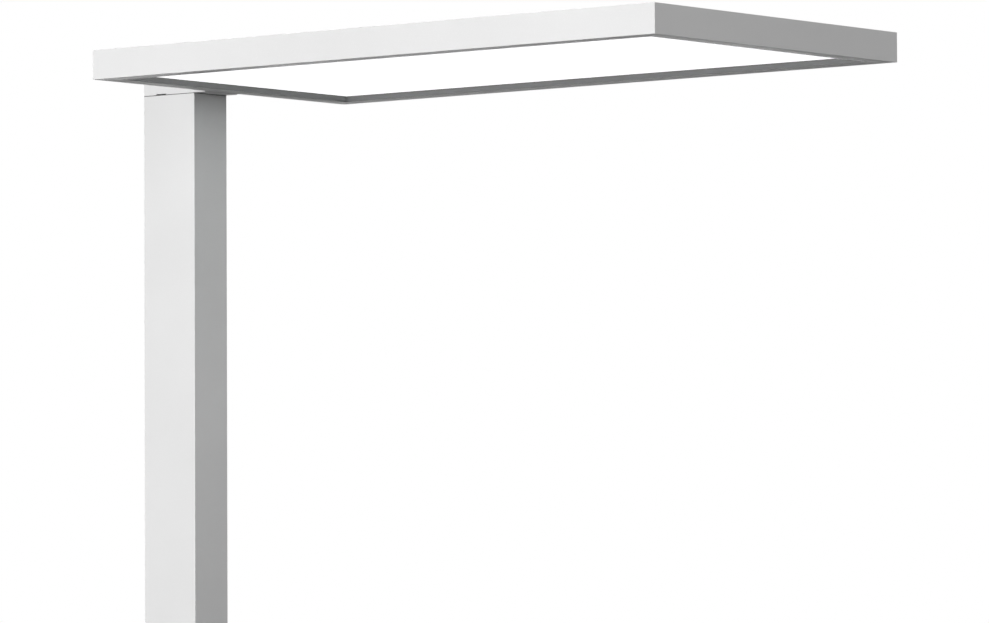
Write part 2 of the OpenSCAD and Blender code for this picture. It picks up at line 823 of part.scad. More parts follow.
// An LED strip against a rail's outer wall, level with the light guide's edge
module led_strip() {
    middle = strip_z - head_z;
    count = floor((head_l - 2 * strip_end - led_size[0]) / led_pitch);
    start = (head_l - count * led_pitch) / 2;
    translate([strip_end, rail_wall, middle - strip_h / 2])
        cube([head_l - 2 * strip_end, strip_t, strip_h]);
    for (i = [0:count])
        translate([start + i * led_pitch - led_size[0] / 2, rail_wall + strip_t - 0.1,
                   middle - led_size[1] / 2])
            cube([led_size[0], led_size[2] + 0.1, led_size[1]]);
}

module led_strip_front() color("ivory") placed()
rail_on_front() led_strip();

module led_strip_back() color("ivory") placed()
rail_on_back() led_strip();

module gear_tray() color("lightgray") placed()
difference() {
    panel(tray_z, lip_z - tray_z, tray_inset);
    panel(tray_top, lip_z - tray_top + cut, tray_inset + tray_t);
    translate([head_x0 + tray_inset - cut, 0, lead_z]) rotate([0, 90, 0])
        cylinder(tray_t + 2 * cut, r = lead_r + 1);
    translate([strip_lead_x, 0, tray_lead_z]) rotate([90, 0, 0])
        cylinder(head_s, r = tray_hole_r, center = true);
}

module head_bracket() color("darkgray") placed()
difference() {
    block([head_x0 + rail_wall, -bracket_s / 2, tray_top],
          [head_x0 + rail_wall + bracket_t, bracket_s / 2, lip_z]);
    head_screw_places() translate([0, 0, -arm_end_wall - rail_wall - bracket_t - cut])
        cylinder(bracket_t + 2 * cut, r = screw_m5[0] + screw_fit);
    translate([head_x0 + rail_wall - cut, 0, lead_z]) rotate([0, 90, 0])
        cylinder(bracket_t + 2 * cut, r = lead_r + 1);
}

module terminal_block() color("ivory") placed()
difference() {
    block([terminal_x, -terminal_s / 2, tray_top],
          [terminal_x + terminal_l, terminal_s / 2, lead_z + 3]);
    for (y = [-1, 0, 1])
        translate([terminal_x + terminal_l / 2, y * terminal_s / 3.2, lead_z - 1])
            cylinder(5, r = 2);
}

// A lead along +X with a quarter bend towards +Y at its end, where y = the bend's radius
module run_and_bend(length, bend) {
    rotate([0, 90, 0]) cylinder(length - bend, r = tray_lead_r);
    translate([length - bend, bend, 0]) rotate([0, 0, -90]) rotate_extrude(angle = 90)
        translate([bend, 0]) circle(tray_lead_r);
}

// On each side, one lead runs to the uplight board and one over the tray's wall to the LED strip
module tray_leads() color("red") placed()
for (y = [-1, 1]) mirror([0, y < 0 ? 1 : 0, 0]) {
    translate([uplight_lead_x, terminal_s / 2, tray_lead_z]) rotate([0, 0, 90])
        mirror([0, 1, 0]) run_and_bend(window_y - terminal_s / 2, tray_lead_bend);
    translate([uplight_lead_x + tray_lead_bend, window_y, tray_lead_z]) rotate([0, 90, 0])
        cylinder(uplight_lead_end - uplight_lead_x - tray_lead_bend, r = tray_lead_r);
    translate([strip_lead_x, terminal_s / 2, tray_lead_z]) rotate([90, 0, 90])
        mirror([0, 1, 0]) run_and_bend(strip_y - terminal_s / 2, tray_lead_z - strip_top);
}

module window_places() {
    for (y = [-1, 1]) translate([head_mid, y * window_y, 0]) children();
}

module uplight_boards() color("ivory") placed()
window_places() translate([0, 0, tray_top]) {
    count = floor((board_l - 20) / uplight_pitch);
    translate([-board_l / 2, -board_w / 2, 0]) cube([board_l, board_w, 1.6]);
    for (i = [0:count], y = [-1, 1])
        translate([(i - count / 2) * uplight_pitch, y * board_w / 4, 1.9])
            cube([3, 3, 0.8], center = true);
}

module uplight_lenses() color("white") placed()
window_places() translate([0, 0, lens_z]) linear_extrude(lens_t)
    round_rect(window_l + 2 * lens_lap, window_w + 2 * lens_lap, window_r);

module cover_screw_places() {
    rail_on_front() lip_places(long_screw_places()) children();
    rail_on_back() lip_places(long_screw_places()) children();
    rail_on_tip() lip_places(short_screw_places()) children();
    rail_on_mast() lip_places(short_screw_places()) children();
}

module top_cover() color("silver") placed()
difference() {
    panel(head_z + head_h - cover_t, cover_t, rail_wall + slide_fit);
    window_places() translate([0, 0, head_z + head_h - cover_t - cut])
        linear_extrude(cover_t + 2 * cut) round_rect(window_l, window_w, window_r);
    cover_screw_places() flat_screw_hole(screw_m3, cover_t + cut);
}

module top_cover_screws() color("darkgray") placed()
cover_screw_places() flat_screw(screw_m3, cover_t + lip_t + 2);

base_plate();
base_pads();
foot_screws();
column_tube();
gland_body();
gland_nut();
gland_seal();
gland_cap();
driver_carrier();
led_driver();
driver_screws();
control_bezel();
downlight_button();
uplight_button();
switch_board();
tact_switches();
board_screws();
switch_lead();
arm_block();
arm_cover();
arm_cover_screws();
column_screws();
head_screws();
head_lead();
lead_grommet();
head_bracket();
terminal_block();
tray_leads();
head_front_rail();
head_back_rail();
head_tip_rail();
head_mast_rail();
corner_keys();
corner_key_screws();
diffuser_panel();
light_guide();
reflector_sheet();
led_strip_front();
led_strip_back();
gear_tray();
uplight_boards();
uplight_lenses();
top_cover();
top_cover_screws();
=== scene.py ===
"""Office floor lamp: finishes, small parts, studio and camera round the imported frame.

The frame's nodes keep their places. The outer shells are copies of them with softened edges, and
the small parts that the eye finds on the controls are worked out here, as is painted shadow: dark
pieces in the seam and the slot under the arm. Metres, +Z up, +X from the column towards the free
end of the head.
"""

import logging
import math
from dataclasses import dataclass, field
from enum import Enum
from typing import Callable, Iterable, Optional, Sequence, Union

import bmesh
import bpy
import numpy as np
from mathutils import Matrix, Vector


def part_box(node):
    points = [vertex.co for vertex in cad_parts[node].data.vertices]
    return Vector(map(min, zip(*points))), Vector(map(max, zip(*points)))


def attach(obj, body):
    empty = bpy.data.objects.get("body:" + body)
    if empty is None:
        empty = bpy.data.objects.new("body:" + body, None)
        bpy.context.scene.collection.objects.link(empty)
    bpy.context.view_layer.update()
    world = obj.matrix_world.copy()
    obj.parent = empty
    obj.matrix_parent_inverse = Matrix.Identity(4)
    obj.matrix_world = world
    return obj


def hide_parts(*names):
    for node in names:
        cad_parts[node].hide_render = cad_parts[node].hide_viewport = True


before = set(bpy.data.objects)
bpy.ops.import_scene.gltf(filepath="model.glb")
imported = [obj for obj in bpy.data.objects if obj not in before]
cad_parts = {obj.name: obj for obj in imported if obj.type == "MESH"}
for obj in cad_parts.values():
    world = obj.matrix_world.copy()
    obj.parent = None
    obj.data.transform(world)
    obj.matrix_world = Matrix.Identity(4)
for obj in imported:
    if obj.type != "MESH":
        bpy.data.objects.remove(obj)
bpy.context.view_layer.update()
LOG = logging.getLogger("lamp")

Colour = tuple[float, float, float]
Number = Union[float, "Signal"]

MM = 0.001
BLACK: Colour = (0.0, 0.0, 0.0)
WHITE: Colour = (1.0, 1.0, 1.0)
SILVER: Colour = (0.70, 0.70, 0.70)
ZINC: Colour = (0.62, 0.63, 0.64)
CASE_WHITE: Colour = (0.82, 0.82, 0.8)
EVEN = (1.0, 1.0, 1.0)


class Body(Enum):
    """The moving bodies of the frame that a piece can ride on."""

    LAMP = "lamp"
    DOWN = "downlight_button"
    UP = "uplight_button"


class Slot(Enum):
    """The names of the lamp's material slots, which the script does not use."""

    FRAME = "silver_frame"
    BASE = "base_coat"
    DARK = "dark_plastic"
    BUTTON = "button_plastic"
    BLACK = "black_plastic"


# ---------------------------------------------------------------------------------------------
# Shader building
# ---------------------------------------------------------------------------------------------


class Signal:
    """A shader socket that can be used in sums; each sum adds its Math node."""

    def __init__(self, tree: "ShaderTree", socket: bpy.types.NodeSocket) -> None:
        """Wraps one output socket of a tree."""
        self.tree = tree
        self.socket = socket

    def _math(self, operation: str, first: Number, second: Number = 0.0) -> "Signal":
        """Adds one Math node.

        Args:
            operation: the node's operation.
            first: the upper input.
            second: the lower input.

        Returns:
            The node's result.
        """
        node = self.tree.node("ShaderNodeMath", {"operation": operation}, {0: first, 1: second})
        return Signal(self.tree, node.outputs[0])

    def __add__(self, other: Number) -> "Signal":
        """This signal plus another."""
        return self._math("ADD", self, other)

    def __sub__(self, other: Number) -> "Signal":
        """This signal less another."""
        return self._math("SUBTRACT", self, other)

    def __mul__(self, other: Number) -> "Signal":
        """This signal times another."""
        return self._math("MULTIPLY", self, other)

    __radd__ = __add__

    def above(self, level: float) -> "Signal":
        """1 where this signal is over the level, and 0 elsewhere."""
        return self._math("GREATER_THAN", self, level)

    def below(self, level: float) -> "Signal":
        """1 where this signal is under the level, and 0 elsewhere."""
        return self._math("LESS_THAN", self, level)

    def size(self) -> "Signal":
        """This signal without its sign."""
        return self._math("ABSOLUTE", self)

    def wave(self) -> "Signal":
        """The sine of this signal."""
        return self._math("SINE", self)

    def between(self, low: float, high: float) -> "Signal":
        """Runs this signal from 0 at one value to 1 at the other, and holds it there.

        Args:
            low: the value that gives 0.
            high: the value that gives 1.

        Returns:
            The share of the way, from 0 to 1.
        """
        node = self.tree.node(
            "ShaderNodeMapRange", {"clamp": True}, {0: self, 1: low, 2: high, 3: 0.0, 4: 1.0}
        )
        return Signal(self.tree, node.outputs[0])


class ShaderTree:
    """One material's nodes, made through a single method."""

    def __init__(self, name: str) -> None:
        """Makes an empty material with its output node.

        Args:
            name: the material's name.
        """
        self.material = bpy.data.materials.new(name)
        self.material.use_nodes = True
        self.nodes = self.material.node_tree.nodes
        self.links = self.material.node_tree.links
        self.nodes.clear()
        self.output = self.node("ShaderNodeOutputMaterial")
        self.place = self.node("ShaderNodeTexCoord").outputs["Object"]

    def node(
        self,
        kind: str,
        settings: Optional[dict[str, object]] = None,
        inputs: Optional[dict[Union[str, int], object]] = None,
    ) -> bpy.types.Node:
        """Adds one node.

        Args:
            kind: the node's type.
            settings: its properties, set before its sockets.
            inputs: socket name or number to a value, a Signal or another node's socket.

        Returns:
            The new node.
        """
        made = self.nodes.new(kind)
        for key, value in (settings or {}).items():
            setattr(made, key, value)
        for key, value in (inputs or {}).items():
            if isinstance(value, Signal):
                self.links.new(value.socket, made.inputs[key])
            elif isinstance(value, bpy.types.NodeSocket):
                self.links.new(value, made.inputs[key])
            else:
                made.inputs[key].default_value = value
        return made

    def axes(self) -> tuple[Signal, Signal, Signal]:
        """The object's own X, Y and Z, in metres."""
        split = self.node("ShaderNodeSeparateXYZ", inputs={0: self.place})
        return tuple(Signal(self, split.outputs[i]) for i in range(3))

    def noise(
        self, per_metre: float, detail: float = 2.0, stretch: Sequence[float] = EVEN
    ) -> Signal:
        """Smooth noise on the object's own coordinates.

        Args:
            per_metre: how many lumps a metre holds.
            detail: the number of finer layers.
            stretch: a factor on each axis, small along the direction of a brushed grain.

        Returns:
            The noise, from 0 to 1.
        """
        place = self.node(
            "ShaderNodeMapping", {"vector_type": "POINT"}, {"Vector": self.place, "Scale": stretch}
        )
        made = self.node(
            "ShaderNodeTexNoise",
            {"noise_dimensions": "3D"},
            {"Vector": place.outputs[0], "Scale": per_metre, "Detail": detail},
        )
        return Signal(self, made.outputs["Fac"])

    def cells(self, per_metre: float, output: str = "Distance") -> Signal:
        """Voronoi cells on the object's own coordinates: a cell's distance or its random value."""
        made = self.node("ShaderNodeTexVoronoi", inputs={"Vector": self.place, "Scale": per_metre})
        return Signal(self, made.outputs[output])

    def mix(self, factor: Number, low: object, high: object) -> Signal:
        """Blends two colours.

        A Mix node's sockets 6 and 7 and its output 2 are the ones for colours.

        Args:
            factor: 0 gives low and 1 gives high.
            low: a colour or a socket.
            high: a colour or a socket.

        Returns:
            The blended colour.
        """
        made = self.node(
            "ShaderNodeMix",
            {"data_type": "RGBA", "clamp_factor": True},
            {0: factor, 6: rgba(low), 7: rgba(high)},
        )
        return Signal(self, made.outputs[2])

    def tones(self, factor: Number, colour: Colour, low: float, high: float) -> Signal:
        """Blends two tones of one colour.

        Args:
            factor: 0 gives the low tone and 1 the high one.
            colour: the colour.
            low: what it is multiplied by for the low tone.
            high: what it is multiplied by for the high tone.

        Returns:
            The blended colour.
        """
        return self.mix(factor, scaled(colour, low), scaled(colour, high))

    def bump(self, height: Signal, depth: float, strength: float = 0.5) -> Signal:
        """Turns a height into a normal.

        Args:
            height: the relief, from 0 to 1.
            depth: what 1 stands for, in metres.
            strength: how much of it shows.

        Returns:
            The normal.
        """
        made = self.node(
            "ShaderNodeBump", inputs={"Height": height, "Distance": depth, "Strength": strength}
        )
        return Signal(self, made.outputs[0])

    def finish(self, **sockets: object) -> bpy.types.Material:
        """Closes the material with one Principled shader.

        Args:
            sockets: the shader's sockets, with _ for each space in a name.

        Returns:
            The material.
        """
        inputs = {key.replace("_", " "): rgba(value) for key, value in sockets.items()}
        shader = self.node("ShaderNodeBsdfPrincipled", inputs=inputs)
        self.links.new(shader.outputs[0], self.output.inputs[0])
        return self.material


def shown(tree: bpy.types.NodeTree, others: Sequence[str]) -> bpy.types.NodeSocket:
    """1 for the rays that show the surroundings, and 0 for those that only light the lamp.

    Args:
        tree: the node tree that asks.
        others: the kinds of ray that show them besides the camera's own.

    Returns:
        The socket with the level.
    """
    path = tree.nodes.new("ShaderNodeLightPath")
    level = path.outputs["Is Camera Ray"]
    for other in others:
        either = tree.nodes.new("ShaderNodeMath")
        either.operation = "MAXIMUM"
        tree.links.new(level, either.inputs[0])
        tree.links.new(path.outputs[other], either.inputs[1])
        level = either.outputs[0]
    return level


def rgba(colour: object) -> object:
    """A colour of three numbers with full alpha; anything else as it is."""
    if isinstance(colour, tuple) and len(colour) == 3:
        return (*colour, 1.0)
    return colour


def scaled(colour: Colour, factor: float) -> Colour:
    """A colour lightened or darkened by a factor."""
    return tuple(min(1.0, part * factor) for part in colour)


def grey(level: float) -> Colour:
    """A grey of that level."""
    return (level, level, level)


# ---------------------------------------------------------------------------------------------
# Finishes
# ---------------------------------------------------------------------------------------------


@dataclass(frozen=True)
class RevealShade:
    """Painted shade on the inner wall round the light panel: a darker colour where little light
    falls.
    """

    low: tuple[float, float]
    high: tuple[float, float]
    top: float
    colour: Colour

    def mask(self, tree: ShaderTree) -> Signal:
        """Marks where the shade is painted: the inside of the panel's opening, below its panel.

        Args:
            tree: the material that asks.

        Returns:
            1 there, and 0 elsewhere.
        """
        x, y, z = tree.axes()
        along = x.above(self.low[0]) * x.below(self.high[0])
        across = y.above(self.low[1]) * y.below(self.high[1])
        return along * across * z.below(self.top)


@dataclass(frozen=True)
class PowderCoat:
    """Fine matt silver coat: an even tone, a faint orange peel and tiny bright flakes, with painted
    shade on a recess wall where one is given.
    """

    name: str
    colour: Colour
    roughness: float = 0.46
    roughness_spread: float = 0.10
    smears_per_metre: float = 60.0
    clouds_per_metre: float = 7.0
    cloud_range: tuple[float, float] = (0.3, 0.7)
    cloud_tones: tuple[float, float] = (0.975, 1.02)
    flakes_per_metre: float = 2600.0
    flake_level: float = 0.86
    flake_share: float = 0.16
    flake_tone: float = 1.3
    peel_per_metre: float = 900.0
    peel_depth: float = 0.012 * MM
    scuff: float = 0.0
    scuffs_per_metre: float = 38.0
    scuff_stretch: tuple[float, float, float] = (1.0, 3.0, 1.0)
    scuff_range: tuple[float, float] = (0.64, 0.72)
    scuff_tone: float = 0.8
    scuff_roughness: float = 0.2
    reveal_shade: Optional[RevealShade] = None

    def material(self) -> bpy.types.Material:
        """Builds the coat.

        Returns:
            The material.
        """
        tree = ShaderTree(self.name)
        cloud = tree.noise(self.clouds_per_metre, detail=3.0).between(*self.cloud_range)
        flake = tree.cells(self.flakes_per_metre, "Color").above(self.flake_level)
        tone = tree.tones(cloud, self.colour, *self.cloud_tones)
        tone = tree.mix(flake * self.flake_share, tone, scaled(self.colour, self.flake_tone))
        smear = tree.noise(self.smears_per_metre, detail=3.0) - 0.5
        rough = self.roughness + smear * self.roughness_spread
        if self.scuff > 0:
            rubbed = tree.noise(self.scuffs_per_metre, detail=6.0, stretch=self.scuff_stretch)
            mark = rubbed.between(*self.scuff_range) * self.scuff
            tone = tree.mix(mark, tone, scaled(self.colour, self.scuff_tone))
            rough = rough + mark * self.scuff_roughness
        # Painted shade: the inner wall round the panel is given a darker colour.
        if self.reveal_shade is not None:
            tone = tree.mix(self.reveal_shade.mask(tree), tone, self.reveal_shade.colour)
        peel = tree.noise(self.peel_per_metre)
        return tree.finish(
            Base_Color=tone,
            Roughness=rough,
            Metallic=0.0,
            Normal=tree.bump(peel, self.peel_depth),
        )


@dataclass(frozen=True)
class OpalPanel:
    """Satin opal acrylic lit from within, a little brighter towards its lit edges."""

    name: str
    glow: float
    middle: float
    half_width: float
    colour: Colour = (0.93, 0.93, 0.93)
    tones: tuple[float, float] = (0.98, 1.0)
    middle_light: Colour = (0.975, 0.978, 0.98)
    roughness: float = 0.5
    roughness_spread: float = 0.08
    haze_per_metre: float = 16.0
    haze_share: float = 0.1
    satin_per_metre: float = 3200.0
    satin_depth: float = 0.01 * MM
    satin_strength: float = 0.4

    def material(self) -> bpy.types.Material:
        """Builds the lit panel.

        Returns:
            The material.
        """
        tree = ShaderTree(self.name)
        _, y, _ = tree.axes()
        edge = (y - self.middle).size().between(0.0, self.half_width)
        haze = tree.noise(self.haze_per_metre)
        satin = tree.noise(self.satin_per_metre, detail=1.0)
        return tree.finish(
            Base_Color=tree.tones(haze, self.colour, *self.tones),
            Roughness=self.roughness + haze * self.roughness_spread,
            Emission_Color=tree.mix(edge * edge + haze * self.haze_share, self.middle_light, WHITE),
            Emission_Strength=self.glow,
            Normal=tree.bump(satin, self.satin_depth, self.satin_strength),
        )


@dataclass(frozen=True)
class Moulding:
    """Moulded plastic with a fine eroded grain."""

    name: str
    colour: Colour
    roughness: float = 0.5
    roughness_spread: float = 0.16
    tones: tuple[float, float] = (0.9, 1.08)
    grain_per_metre: float = 2200.0
    grain_depth: float = 0.03 * MM
    clouds_per_metre: float = 40.0

    def material(self) -> bpy.types.Material:
        """Builds the moulding.

        Returns:
            The material.
        """
        tree = ShaderTree(self.name)
        grain = tree.noise(self.grain_per_metre, detail=3.0)
        cloud = tree.noise(self.clouds_per_metre)
        return tree.finish(
            Base_Color=tree.tones(cloud, self.colour, *self.tones),
            Roughness=self.roughness + (grain - 0.5) * self.roughness_spread,
            Normal=tree.bump(grain, self.grain_depth),
        )


@dataclass(frozen=True)
class Rubber:
    """Soft rubber, dull, with a bloom of paler dust."""

    name: str
    colour: Colour
    bloom: float = 0.25
    bloom_tone: float = 2.2
    roughness: float = 0.78
    roughness_spread: float = 0.12
    dust_per_metre: float = 120.0
    dust_range: tuple[float, float] = (0.45, 0.75)
    pores_per_metre: float = 1800.0
    pore_depth: float = 0.02 * MM
    pore_strength: float = 0.4

    def material(self) -> bpy.types.Material:
        """Builds the rubber.

        Returns:
            The material.
        """
        tree = ShaderTree(self.name)
        dust = tree.noise(self.dust_per_metre, detail=5.0).between(*self.dust_range)
        pores = tree.cells(self.pores_per_metre)
        return tree.finish(
            Base_Color=tree.tones(dust * self.bloom, self.colour, 1.0, self.bloom_tone),
            Roughness=self.roughness + dust * self.roughness_spread,
            Normal=tree.bump(pores, self.pore_depth, self.pore_strength),
        )


@dataclass(frozen=True)
class BareMetal:
    """Bare metal with drawn or turned lines along one axis."""

    name: str
    colour: Colour
    roughness: float = 0.3
    roughness_spread: float = 0.14
    tones: tuple[float, float] = (0.9, 1.06)
    lines_per_metre: float = 1500.0
    line_depth: float = 0.008 * MM
    stretch: tuple[float, float, float] = (1.0, 1.0, 0.05)
    clouds_per_metre: float = 90.0

    def material(self) -> bpy.types.Material:
        """Builds the metal.

        Returns:
            The material.
        """
        tree = ShaderTree(self.name)
        lines = tree.noise(self.lines_per_metre, detail=4.0, stretch=self.stretch)
        cloud = tree.noise(self.clouds_per_metre, detail=3.0)
        return tree.finish(
            Base_Color=tree.tones(lines, self.colour, *self.tones),
            Metallic=1.0,
            Roughness=self.roughness + (cloud - 0.5) * self.roughness_spread,
            Normal=tree.bump(lines, self.line_depth),
        )


@dataclass(frozen=True)
class ZincSheet:
    """Zinc-coated sheet with a faint spangle."""

    name: str
    colour: Colour = ZINC
    tones: tuple[float, float] = (0.86, 1.1)
    metallic: float = 0.9
    roughness: float = 0.34
    roughness_spread: float = 0.16
    spangles_per_metre: float = 130.0
    waves_per_metre: float = 400.0
    wave_depth: float = 0.01 * MM
    wave_strength: float = 0.4

    def material(self) -> bpy.types.Material:
        """Builds the sheet.

        Returns:
            The material.
        """
        tree = ShaderTree(self.name)
        spangle = tree.cells(self.spangles_per_metre, "Color")
        waves = tree.noise(self.waves_per_metre)
        return tree.finish(
            Base_Color=tree.tones(spangle, self.colour, *self.tones),
            Metallic=self.metallic,
            Roughness=self.roughness + spangle * self.roughness_spread,
            Normal=tree.bump(waves, self.wave_depth, self.wave_strength),
        )


@dataclass(frozen=True)
class CircuitBoard:
    """Solder mask over copper: tracks show as faint raised lines.

    A track runs where the sine of y + z / 2, bent by a slow noise, is over a small value.
    """

    name: str
    colour: Colour
    track_pitch: float = 2.4 * MM
    track_range: tuple[float, float] = (0.1, 0.3)
    track_tone: float = 1.25
    track_depth: float = 0.03 * MM
    track_strength: float = 0.6
    roughness: float = 0.35
    roughness_spread: float = 0.1
    bends_per_metre: float = 30.0
    bend_reach: float = 0.01

    def material(self) -> bpy.types.Material:
        """Builds the board.

        Returns:
            The material.
        """
        tree = ShaderTree(self.name)
        _, y, z = tree.axes()
        bend = tree.noise(self.bends_per_metre, detail=1.0) * self.bend_reach
        sweep = (y + z * 0.5 + bend) * (2 * math.pi / self.track_pitch)
        track = sweep.wave().between(*self.track_range)
        return tree.finish(
            Base_Color=tree.tones(track, self.colour, 1.0, self.track_tone),
            Roughness=self.roughness + track * self.roughness_spread,
            Normal=tree.bump(track, self.track_depth, self.track_strength),
        )


@dataclass(frozen=True)
class ClearAcrylic:
    """Clear plate of the edge-lit panel, with the dots printed on it."""

    name: str
    clear: Colour = (0.86, 0.9, 0.9)
    dot: Colour = (0.96, 0.96, 0.96)
    dot_pitch: float = 4.0 * MM
    dot_size: float = 0.22
    roughness: float = 0.08
    dot_roughness: float = 0.4
    transmission: float = 0.6
    refraction: float = 1.49

    def material(self) -> bpy.types.Material:
        """Builds the plate.

        Returns:
            The material.
        """
        tree = ShaderTree(self.name)
        dots = tree.cells(1.0 / self.dot_pitch).below(self.dot_size)
        return tree.finish(
            Base_Color=tree.mix(dots, self.clear, self.dot),
            Roughness=self.roughness + dots * self.dot_roughness,
            Transmission_Weight=self.transmission,
            IOR=self.refraction,
        )


# ---------------------------------------------------------------------------------------------
# Pieces
# ---------------------------------------------------------------------------------------------


# In a shell, points closer than SHELL_MERGE become one, and so do faces that meet at less than
# SHELL_FLAT. Edges sharper than SHELL_BEND are softened in SHELL_STEPS steps, and faces smaller
# than WIDE_FACE, in square metres, are shaded smooth.
SHELL_MERGE = 0.002 * MM
SHELL_FLAT = math.radians(0.5)
SHELL_BEND = math.radians(42)
SHELL_STEPS = 2
WIDE_FACE = 20 * MM * MM


def dress(nodes: Union[str, Iterable[str]], material: bpy.types.Material) -> None:
    """Gives nodes of the frame their material.

    Args:
        nodes: one node's name, or several.
        material: their finish.
    """
    for node in [nodes] if isinstance(nodes, str) else nodes:
        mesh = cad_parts[node].data
        mesh.materials.clear()
        mesh.materials.append(material)
        LOG.info("dressed %s", node)


def add_piece(
    name: str, mesh: bpy.types.Mesh, material: bpy.types.Material, body: Body
) -> bpy.types.Object:
    """Links a new piece and says what it rides on.

    Args:
        name: the piece's name.
        mesh: its mesh, in the frame's own place.
        material: its finish.
        body: what it moves with.

    Returns:
        The new object.
    """
    made = bpy.data.objects.new(name, mesh)
    bpy.context.scene.collection.objects.link(made)
    mesh.materials.clear()
    mesh.materials.append(material)
    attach(made, body.value)
    LOG.info("made %s", name)
    return made


def soften(
    node: str,
    radius: float,
    material: bpy.types.Material,
    body: Body = Body.LAMP,
    reshape: Optional[Callable[[bmesh.types.BMesh], None]] = None,
) -> None:
    """Stands a copy of a node with softened edges in its place.

    Args:
        node: the frame's node.
        radius: the width of the softened edge, in metres.
        material: its finish.
        body: what it moves with.
        reshape: what else is done to the copy's own shape.
    """
    shape = bmesh.new()
    shape.from_mesh(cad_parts[node].data)
    bmesh.ops.remove_doubles(shape, verts=shape.verts, dist=SHELL_MERGE)
    bmesh.ops.dissolve_limit(
        shape, angle_limit=SHELL_FLAT, verts=shape.verts, edges=shape.edges
    )
    for face in shape.faces:
        face.smooth = face.calc_area() < WIDE_FACE
    if reshape is not None:
        reshape(shape)
    mesh = bpy.data.meshes.new(node + "_shell")
    shape.to_mesh(mesh)
    shape.free()
    made = add_piece(node + "_shell", mesh, material, body)
    edge = made.modifiers.new("softened edges", "BEVEL")
    edge.width = radius
    edge.segments = SHELL_STEPS
    edge.limit_method = "ANGLE"
    edge.angle_limit = SHELL_BEND
    edge.use_clamp_overlap = True
    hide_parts(node)


def grid_faces(rows: int, columns: int) -> np.ndarray:
    """The four-cornered faces of a grid of points, closed along its columns.

    Args:
        rows: points along the first direction.
        columns: points along the second, which runs round.

    Returns:
        One row of four point numbers for each face.
    """
    i, j = np.meshgrid(np.arange(rows - 1), np.arange(columns), indexing="ij")
    following = (j + 1) % columns
    corners = (
        i * columns + j,
        i * columns + following,
        (i + 1) * columns + following,
        (i + 1) * columns + j,
    )
    return np.stack([corner.ravel() for corner in corners], axis=1)


def surface(
    name: str, points: np.ndarray, faces: Iterable[Sequence[int]]
) -> bpy.types.Mesh:
    """Puts points and flat faces into a mesh.

    Args:
        name: the mesh's name.
        points: one row of three coordinates for each point.
        faces: the point numbers of each face.

    Returns:
        The mesh, with its normals outwards.
    """
    mesh = bpy.data.meshes.new(name)
    mesh.from_pydata(points.tolist(), [], [list(map(int, face)) for face in faces])
    shape = bmesh.new()
    shape.from_mesh(mesh)
    bmesh.ops.recalc_face_normals(shape, faces=shape.faces)
    shape.to_mesh(mesh)
    shape.free()
    mesh.update()
    return mesh


def turned(
    name: str, profile: Sequence[tuple[float, float]], origin: Vector, axis: Vector, sides: int
) -> bpy.types.Mesh:
    """A body turned about an axis: each profile point runs round as a ring.

    A point at angle t lies at origin + axis * height + radius * (cos t, sin t) in the two
    directions square to the axis. The first and last rings are closed by flat faces.

    Args:
        name: the mesh's name.
        profile: radius and height of each ring, in metres.
        origin: where the axis starts.
        axis: its direction, of length 1.
        sides: points round each ring.

    Returns:
        The closed mesh.
    """
    angle = np.linspace(0.0, 2 * math.pi, sides, endpoint=False)
    side = np.array(axis.orthogonal().normalized())
    other = np.cross(np.array(axis), side)
    radius, height = np.array(profile).T
    points = (
        np.array(origin)
        + height[:, None, None] * np.array(axis)
        + (radius[:, None] * np.cos(angle))[:, :, None] * side
        + (radius[:, None] * np.sin(angle))[:, :, None] * other
    ).reshape(-1, 3)
    ring = np.arange(sides)
    last = ring + (len(profile) - 1) * sides
    return surface(name, points, [*grid_faces(len(profile), sides), ring, last])


def prism(name: str, outline: np.ndarray, origin: Vector, depth: float) -> bpy.types.Mesh:
    """A flat shape that faces +X: its outline runs in Y and Z and is drawn out along X.

    Args:
        name: the mesh's name.
        outline: one row of (y, z) for each corner, in metres.
        origin: the point that the outline is measured from, at its back.
        depth: how far it stands out.

    Returns:
        The closed mesh.
    """
    count = len(outline)
    back = np.column_stack([np.zeros(count), outline]) + np.array(origin)
    points = np.concatenate([back, back + np.array([depth, 0.0, 0.0])])
    ring = np.arange(count)
    return surface(name, points, [ring, ring + count, *grid_faces(2, count)])


def collar(name: str, low: Vector, high: Vector, width: float) -> bpy.types.Mesh:
    """A square-cornered frame that lies flat: a block less a smaller block right through it.

    Each of its four rings of points is the block's outline drawn in by 0 or width, at the lower or
    the upper height, and the rings are joined round into a closed tube.

    Args:
        name: the mesh's name.
        low: the block's lowest corner.
        high: its highest corner.
        width: how wide the frame's bars are, in metres.

    Returns:
        The closed mesh.
    """
    rings = []
    for inset, z in ((0.0, low.z), (width, low.z), (width, high.z), (0.0, high.z)):
        x0, x1, y0, y1 = low.x + inset, high.x - inset, low.y + inset, high.y - inset
        rings.append([(x0, y0, z), (x1, y0, z), (x1, y1, z), (x0, y1, z)])
    points = np.array(rings).reshape(-1, 3)
    return surface(name, points, grid_faces(len(rings) + 1, 4) % len(points))


def slab(name: str, low: Vector, high: Vector) -> bpy.types.Mesh:
    """A plain block between two corners."""
    outline = np.array([[low.y, low.z], [high.y, low.z], [high.y, high.z], [low.y, high.z]])
    return prism(name, outline - outline[0], low, high.x - low.x)


# ---------------------------------------------------------------------------------------------
# Sub-assemblies
# ---------------------------------------------------------------------------------------------


# The softened edges of metal and of moulded pieces, how far down a normal has to point for its face
# to look down, and how near a cut a point counts as lying on it.
EDGE = 0.2 * MM
MOULDED_EDGE = 0.25 * MM
DOWNWARD = -0.99
CUT_REACH = 1e-7


